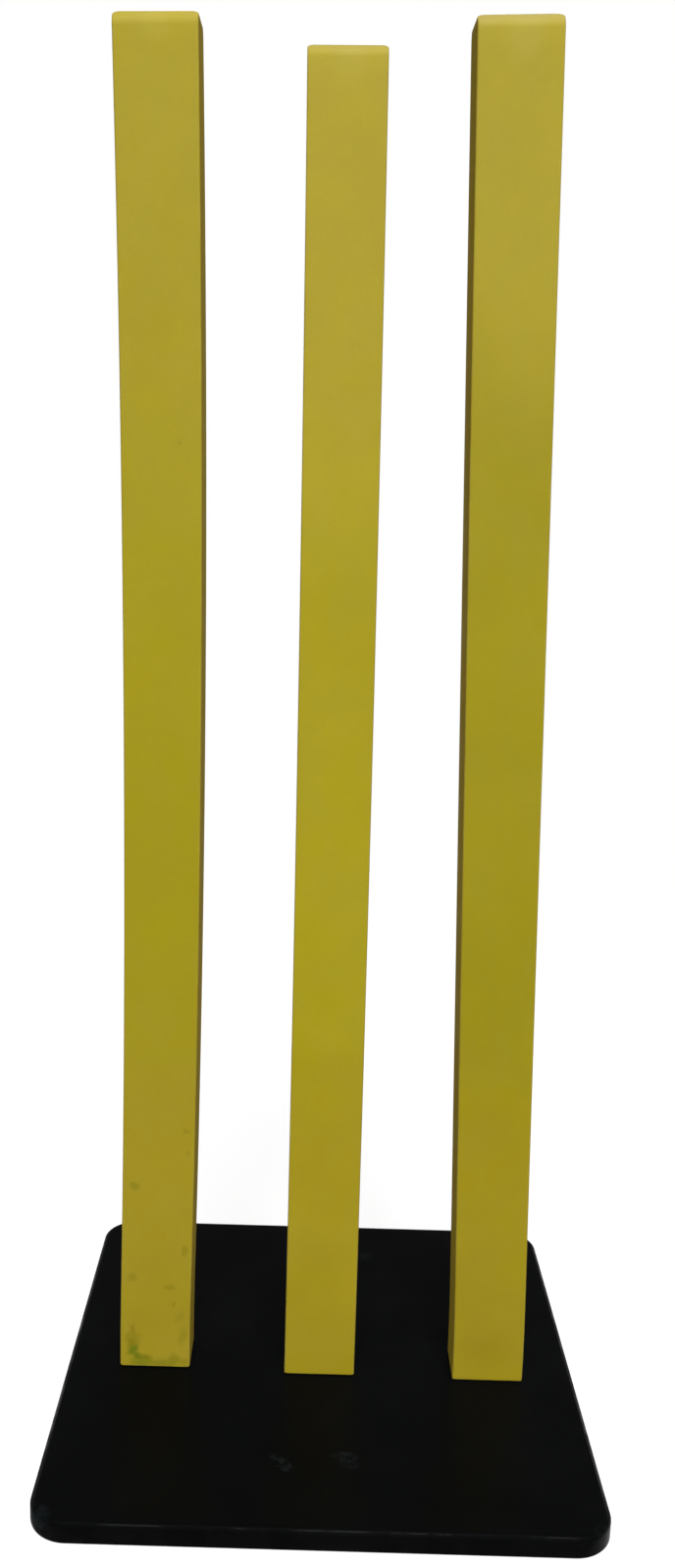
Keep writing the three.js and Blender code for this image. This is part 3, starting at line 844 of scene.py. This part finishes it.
def bolt(side, number, centre, plating):
    """A button-head bolt, head down: a dome with a hexagon socket, a threaded shank and a chamfered tip.

    The dome's radius is the flat's plus the rest times sin a, at the head's height times 1 - cos a.
    """
    node = f"{side}_bolt_{number}"
    low, high = (corner.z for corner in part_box(node))
    flat = BOLT_HEAD_RADIUS * BOLT_HEAD_FLAT_SHARE
    angle = np.linspace(0, QUARTER_TURN, ROUND_STEPS + 1)
    dome_radius = flat + (BOLT_HEAD_RADIUS - flat) * np.sin(angle)
    dome_height = low + BOLT_HEAD_HEIGHT * (1 - np.cos(angle))
    shank_height, shank_radius = thread(low + BOLT_HEAD_HEIGHT, high - BOLT_TIP_CHAMFER)
    tip_radius = np.full((1, CIRCLE_STEPS), BOLT_RADIUS - BOLT_TIP_CHAMFER)
    radius = np.concatenate([np.tile(dome_radius[:, None], CIRCLE_STEPS), shank_radius, tip_radius])
    height = np.concatenate([dome_height, shank_height, [high]])
    skin = Skin()
    rings = turned(skin, centre, radius, height)
    hexagon = circle(centre, SOCKET_ACROSS_FLATS / 2 / math.cos(math.pi / HEXAGON_SIDES), HEXAGON_SIDES)
    mouth, socket_floor = tube(skin, hexagon, low, low + SOCKET_DEPTH, inward=True)
    skin.flat(socket_floor, up=False)
    skin.flat(rings[0], [mouth], up=False)
    skin.flat(rings[-1], up=True)
    steel_piece(skin, f"{side}_button_head_bolt_{number}", node, plating)


def washer(side, number, centre, plating):
    """A penny washer: a closed profile with its four edges chamfered, turned round the bolt."""
    node = f"{side}_washer_{number}"
    low, high = (corner.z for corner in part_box(node))
    bore, rim = BOLT_RADIUS + SEAT_GAP, size_of(node).x / 2
    chamfer = WASHER_CHAMFER
    radius = np.array([bore + chamfer, rim - chamfer, rim, rim, rim - chamfer, bore + chamfer, bore, bore])
    height = np.array([low, low, low + chamfer, high - chamfer, high, high, high - chamfer, low + chamfer])
    skin = Skin()
    turned(skin, centre, radius, height, closed=True)
    steel_piece(skin, f"{side}_penny_washer_{number}", node, plating)


def anchor(side, plating):
    """A rounded plate with two key holes and two blind bosses, each with a groove round it.

    The plate is its outline carried straight up, and each boss is a stepped profile turned round its
    bolt.
    """
    node = side + "_anchor"
    foot, size = foot_place(side), size_of(node)
    low, boss_top = (corner.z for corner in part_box(node))
    plate_top = low + ANCHOR_THICKNESS
    outline = rounded_rings(size.x, size.y, ANCHOR_CORNER_RADIUS)[0] + foot
    skin = Skin()
    plate_low, plate_high = tube(skin, outline, low, plate_top)
    key_holes = [
        tube(skin, circle(foot + (0, reach), KEY_HOLE_RADIUS), low, plate_top, inward=True)
        for reach in (-KEY_HOLE_REACH, KEY_HOLE_REACH)
    ]
    mouths = [hole[0] for hole in key_holes]
    collars = [hole[1] for hole in key_holes]
    groove_low, groove_high = (low + size.z * share for share in BOSS_GROOVE_SHARES)
    inner = BOSS_RADIUS - BOSS_GROOVE_DEPTH
    radius = np.array([BOSS_RADIUS, BOSS_RADIUS, inner, inner, BOSS_RADIUS, BOSS_RADIUS])
    height = np.array([plate_top, groove_low, groove_low, groove_high, groove_high, boss_top])
    for centre in bolt_places(side):
        bore = circle(centre, BOLT_RADIUS + SEAT_GAP)
        bore_low, bore_high = tube(skin, bore, low, boss_top - BOSS_CAP, inward=True)
        skin.flat(bore_high, up=False)
        mouths.append(bore_low)
        boss = turned(skin, centre, radius, height)
        skin.flat(boss[-1], up=True)
        collars.append(boss[0])
    skin.flat(plate_low, mouths, up=False)
    skin.flat(plate_high, collars, up=True)
    steel_piece(skin, side + "_steel_anchor", node, plating)


# Rubber slab

def stadium(side, radius):
    """A slot's outline round both bolts of a stump: two half circles and the straight lines between them."""
    left, right = bolt_places(side)
    half = CIRCLE_STEPS // 2
    whole = np.roll(circle((0, 0), radius), half // 2, axis=0)
    return np.concatenate([right + whole[: half + 1], left + whole[half:], left + whole[:1]])


def slab():
    """The slab: a rounded square carried up its edge rounds, with a slot and two holes under each stump.

    At each height the square is drawn in by the round's inset there. A level ring inside each rim keeps
    the bend of the rounds out of the shading of the wide faces.
    """
    inset_low, rise_low = quarter_round(SLAB_BOTTOM_ROUND)
    inset_top, rise_top = quarter_round(SLAB_TOP_ROUND)
    level_low, level_top = inset_low[-1] + SLAB_LEVEL_RING, inset_top[-1] + SLAB_LEVEL_RING
    inset = np.concatenate([[level_low], inset_low[::-1], inset_top, [level_top]])
    rise = np.concatenate([SLAB_BOTTOM_ROUND - rise_low[::-1], SLAB_TOP - SLAB_TOP_ROUND + rise_top])
    height = np.concatenate([rise[:1], rise, rise[-1:]])
    radius = SLAB_CORNER_RADIUS - inset
    flat = rounded_rings(SLAB.x - 2 * inset, SLAB.y - 2 * inset, radius, SLAB_CORNER_STEPS)
    points = np.concatenate([flat, np.broadcast_to(height[:, None, None], (*flat.shape[:2], 1))], axis=-1)
    skin = Skin()
    rings = skin.add(points)
    skin.wall(rings)
    slots, mouths = [], []
    for side in STUMPS:
        slot_radius = size_of(side + "_washer_1").x / 2 + HOLE_GAP
        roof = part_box(side + "_washer_1")[1].z + SEAT_GAP
        slot_low, slot_high = tube(skin, stadium(side, slot_radius), 0, roof, inward=True)
        holes = [
            tube(skin, circle(centre, BOLT_RADIUS + HOLE_GAP), roof, SLAB_TOP, inward=True)
            for centre in bolt_places(side)
        ]
        skin.flat(slot_high, [hole[0] for hole in holes], up=False)
        slots.append(slot_low)
        mouths += [hole[1] for hole in holes]
    skin.flat(rings[0], slots, up=False)
    skin.flat(rings[-1], mouths, up=True)
    piece = skin.piece("rubber_slab", slab_rubber())
    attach(piece, "base")
    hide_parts("rubber_base")


# Studio

def camera():
    """The photograph's camera: turned up from straight down, then left, with its roll on its own axis."""
    data = bpy.data.cameras.new("camera")
    data.sensor_width = SENSOR_LENGTH_MM
    data.lens = FOCAL_LENGTH_PX * SENSOR_LENGTH_MM / PHOTO_HEIGHT_PX
    data.shift_x = (PHOTO_WIDTH_PX / 2 - OPTICAL_AXIS_X_PX) / PHOTO_HEIGHT_PX
    turn = (
        Matrix.Rotation(CAMERA_LEFT, 4, "Z")
        @ Matrix.Rotation(QUARTER_TURN - CAMERA_DOWN, 4, "X")
        @ Matrix.Rotation(CAMERA_ROLL, 4, "Z")
    )
    made = bpy.data.objects.new("camera", data)
    made.matrix_world = Matrix.Translation(CAMERA_PLACE) @ turn
    bpy.context.scene.collection.objects.link(made)
    bpy.context.scene.camera = made


def lamp(name, place, size, watts):
    """One large soft square lamp, turned towards the middle of the stumps."""
    data = bpy.data.lights.new(name, "AREA")
    data.shape = "SQUARE"
    data.size = size
    data.energy = watts
    made = bpy.data.objects.new(name, data)
    made.location = place
    made.rotation_euler = (LAMP_AIM - place).to_track_quat("-Z", "Y").to_euler()
    bpy.context.scene.collection.objects.link(made)


def room():
    """Even grey light. The camera sees plain white, and glossy surfaces see white walls and a dim ceiling."""
    world = bpy.data.worlds.new("room")
    world.use_nodes = True
    bpy.context.scene.world = world
    tree = world.node_tree
    background = tree.nodes["Background"]
    background.inputs["Color"].default_value = colour_of(1, 1, 1)
    path = tree.nodes.new("ShaderNodeLightPath")
    place = tree.nodes.new("ShaderNodeTexCoord")
    upward = tree.nodes.new("ShaderNodeSeparateXYZ")
    tree.links.new(place.outputs["Generated"], upward.inputs[0])
    ceiling = tree.nodes.new("ShaderNodeMapRange")
    ceiling.interpolation_type = "SMOOTHSTEP"
    tree.links.new(upward.outputs["Z"], ceiling.inputs["Value"])
    ceiling.inputs["From Min"].default_value = WALL_TOP
    ceiling.inputs["From Max"].default_value = CEILING_START
    ceiling.inputs["To Min"].default_value = 1.0
    ceiling.inputs["To Max"].default_value = CEILING_GLOSS
    strength = None
    other, wanted = MIX_NUMBERS
    for ray, seen in (
        ("Is Glossy Ray", ceiling.outputs["Result"]),
        ("Is Transmission Ray", None),
        ("Is Camera Ray", None),
    ):
        choose = tree.nodes.new("ShaderNodeMix")
        tree.links.new(path.outputs[ray], choose.inputs[MIX_SHARE])
        if strength is None:
            choose.inputs[other].default_value = ROOM_LIGHT
        else:
            tree.links.new(strength, choose.inputs[other])
        if seen is None:
            choose.inputs[wanted].default_value = 1.0
        else:
            tree.links.new(seen, choose.inputs[wanted])
        strength = choose.outputs[0]
    tree.links.new(strength, background.inputs["Strength"])


def floor():
    """A plain pale floor that keeps the shadow near the object and turns pure white further off."""
    paint = Paint("pale_floor")
    tree = paint.tree
    tree.nodes.remove(paint.shader)
    place = paint.node("TexCoord").outputs["Object"]
    far = paint.node("VectorMath", {"operation": "LENGTH"}, {0: place}).outputs["Value"]
    away = paint.between(far, FLOOR_NEAR, FLOOR_FAR)
    lit = paint.node("BsdfDiffuse", inputs={"Color": colour_of(*(FLOOR_COLOUR,) * 3)})
    lift = paint.node("Emission", inputs={"Strength": FLOOR_LIFT})
    white = paint.node("Emission", inputs={"Strength": 1.0})
    bounced = paint.node("BsdfDiffuse", inputs={"Color": colour_of(*(FLOOR_BOUNCE,) * 3)})
    lifted = paint.node("AddShader", inputs={0: lit.outputs[0], 1: lift.outputs[0]})
    faded = paint.node("MixShader", inputs={0: away, 1: lifted.outputs[0], 2: white.outputs[0]})
    path = paint.node("LightPath")
    seen = paint.sums("MAXIMUM", path.outputs["Is Camera Ray"], path.outputs["Is Glossy Ray"])
    seen = paint.sums("MAXIMUM", seen, path.outputs["Is Transmission Ray"])
    shown = paint.node("MixShader", inputs={0: seen, 1: bounced.outputs[0], 2: faded.outputs[0]})
    tree.links.new(shown.outputs[0], tree.nodes["Material Output"].inputs["Surface"])
    half = FLOOR_SIZE / 2
    corners = np.array([[-half, -half, 0], [half, -half, 0], [half, half, 0], [-half, half, 0]])
    mesh = bpy.data.meshes.new("floor")
    mesh.from_pydata(corners, [], [(0, 1, 2, 3)])
    mesh.materials.append(paint.material)
    made = bpy.data.objects.new("floor", mesh)
    bpy.context.scene.collection.objects.link(made)


bpy.context.scene.view_settings.view_transform = "Standard"
camera()
lamp("key_light", KEY_PLACE, KEY_SIZE, KEY_WATTS)
lamp("top_light", TOP_PLACE, TOP_SIZE, TOP_WATTS)
for back_place in BACK_PLACES:
    lamp("back_light", back_place, BACK_SIZE, BACK_WATTS)
room()
floor()
slab()
zinc = zinc_plate()
for stump_side in STUMPS:
    stump_moulding(stump_side)
    anchor(stump_side, zinc)
    for bolt_number, bolt_place in enumerate(bolt_places(stump_side), 1):
        bolt(stump_side, bolt_number, bolt_place, zinc)
        washer(stump_side, bolt_number, bolt_place, zinc)
